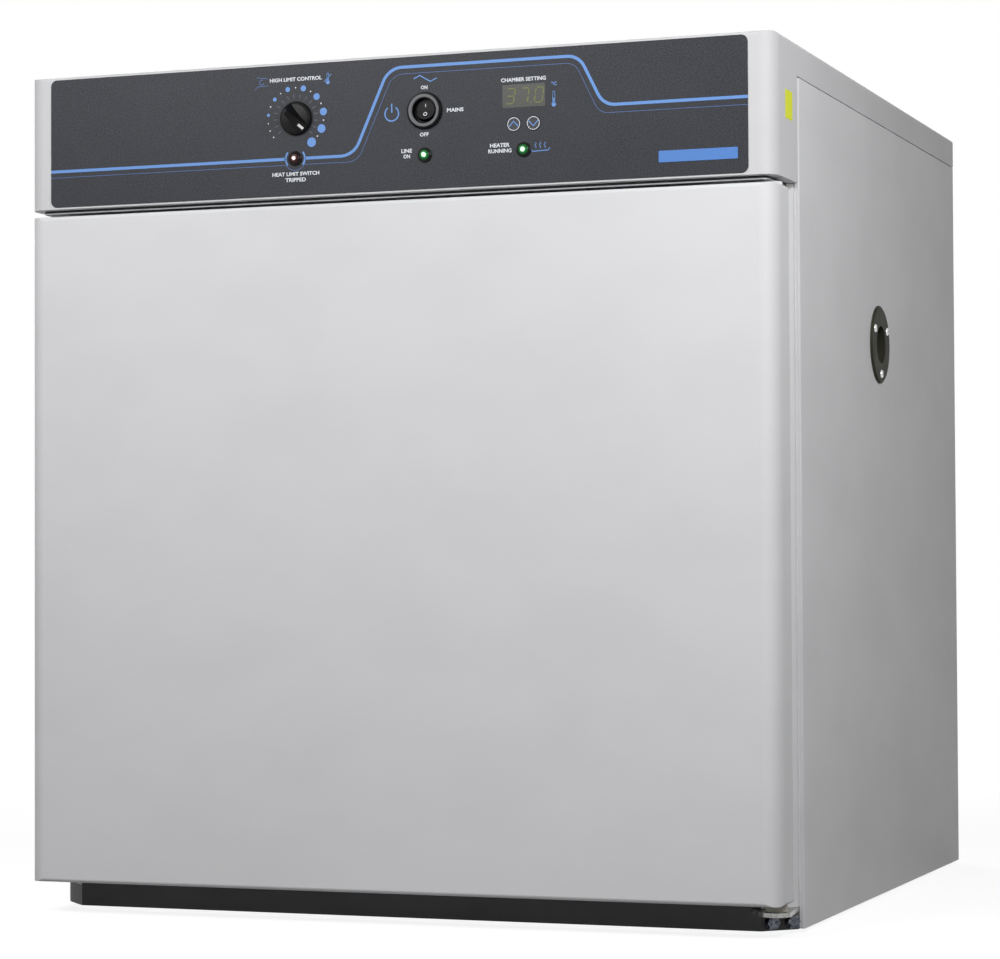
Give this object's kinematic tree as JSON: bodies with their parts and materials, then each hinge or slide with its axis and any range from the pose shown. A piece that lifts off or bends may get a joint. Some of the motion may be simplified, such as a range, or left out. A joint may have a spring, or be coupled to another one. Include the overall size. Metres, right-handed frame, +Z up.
{
  "type": "bench incubator",
  "caption": "Painted steel bench incubator with a control head, a solid hinged door, an insulated stainless chamber with shelves and a side access port.",
  "frame": {"origin": "on the floor under the centre of the overall envelope, knob and screw heads included", "axes": "+Z up, the door and controls face -Y, the hinge side and the access port are on +X"},
  "size_m": [0.6638, 0.691, 0.712],
  "materials": {
    "painted_sheet": "satin",
    "overlay": "matte",
    "dark_sheet": "satin",
    "rubber": "matte",
    "zinc_sheet": "satin",
    "stainless": "brushed",
    "break_plastic": "satin",
    "insulation": "matte",
    "heater_sheath": "satin",
    "thermostat_body": "satin",
    "copper": "satin",
    "black_plastic": "gloss",
    "grey_rubber": "satin",
    "white_inlay": "satin",
    "smoked_window": "gloss",
    "board": "satin",
    "transformer_iron": "satin",
    "button_plastic": "satin",
    "red_lens": "gloss",
    "green_lens": "gloss",
    "polished_steel": "polished",
    "gasket": "matte",
    "nylon": "satin",
    "zinc_plate": "satin",
    "zinc_bolt": "polished"
  },
  "bodies": {
    "cabinet": {"top_cover": "painted_sheet", "control_overlay": "overlay", "head_seal": "rubber", "head_floor": "zinc_sheet", "left_side_panel": "painted_sheet", "right_side_panel": "painted_sheet", "back_panel": "painted_sheet", "base_pan": "zinc_sheet", "front_frame": "painted_sheet", "kick_plate": "dark_sheet", "feet": "rubber", "chamber_liner": "stainless", "thermal_break": "break_plastic", "cabinet_insulation": "insulation", "shelf_standards": "stainless", "shelf_clips": "stainless", "upper_shelf": "stainless", "lower_shelf": "stainless", "diffuser_plate": "stainless", "heating_element": "heater_sheath", "temperature_probe": "stainless", "thermostat": "thermostat_body", "limit_bulb": "copper", "bulb_clip": "stainless", "switch_housing": "black_plastic", "switch_ring": "grey_rubber", "display_window": "smoked_window", "display_module": "black_plastic", "control_board": "board", "transformer": "transformer_iron", "lamp_bezels": "black_plastic", "alarm_lens": "red_lens", "power_lens": "green_lens", "heating_lens": "green_lens", "port_flange": "stainless", "port_tube": "stainless", "port_inner_ring": "stainless", "port_screws": "polished_steel", "power_inlet": "black_plastic", "inlet_screws": "polished_steel", "cover_screws": "zinc_bolt", "top_hinge_bracket": "zinc_plate", "bottom_hinge_bracket": "zinc_plate", "hinge_pins": "polished_steel", "hinge_bolts": "zinc_bolt", "hinge_screws": "zinc_bolt"},
    "door": {"door_skin": "painted_sheet", "door_liner": "stainless", "door_insulation": "insulation", "door_gasket": "gasket", "door_hinge_blocks": "zinc_sheet", "door_bushes": "nylon"},
    "knob": {"thermostat_shaft": "polished_steel", "thermostat_knob": "black_plastic", "knob_pointer": "white_inlay"},
    "rocker": {"power_rocker": "black_plastic"},
    "up_key": {"up_button": "button_plastic"},
    "down_key": {"down_button": "button_plastic"}
  },
  "joints": [
    {"name": "door_hinge", "type": "hinge", "parent": "cabinet", "child": "door", "pos_m": [0.318, -0.2983, 0.303], "axis": [0, 0, 1], "range_deg": [0, 145]},
    {"name": "thermostat_turn", "type": "hinge", "parent": "cabinet", "child": "knob", "pos_m": [-0.079, -0.3295, 0.6645], "axis": [0, -1, 0], "range_deg": [0, 270]},
    {"name": "power_rock", "type": "hinge", "parent": "cabinet", "child": "rocker", "pos_m": [0.0355, -0.3233, 0.6645], "axis": [1, 0, 0], "range_deg": [0, 18]},
    {"name": "up_press", "type": "slide", "parent": "cabinet", "child": "up_key", "axis": [0, 1, 0], "range_m": [0, 0.0008], "stiffness_N_per_m": 800},
    {"name": "down_press", "type": "slide", "parent": "cabinet", "child": "down_key", "axis": [0, 1, 0], "range_m": [0, 0.0008], "stiffness_N_per_m": 800}
  ]
}
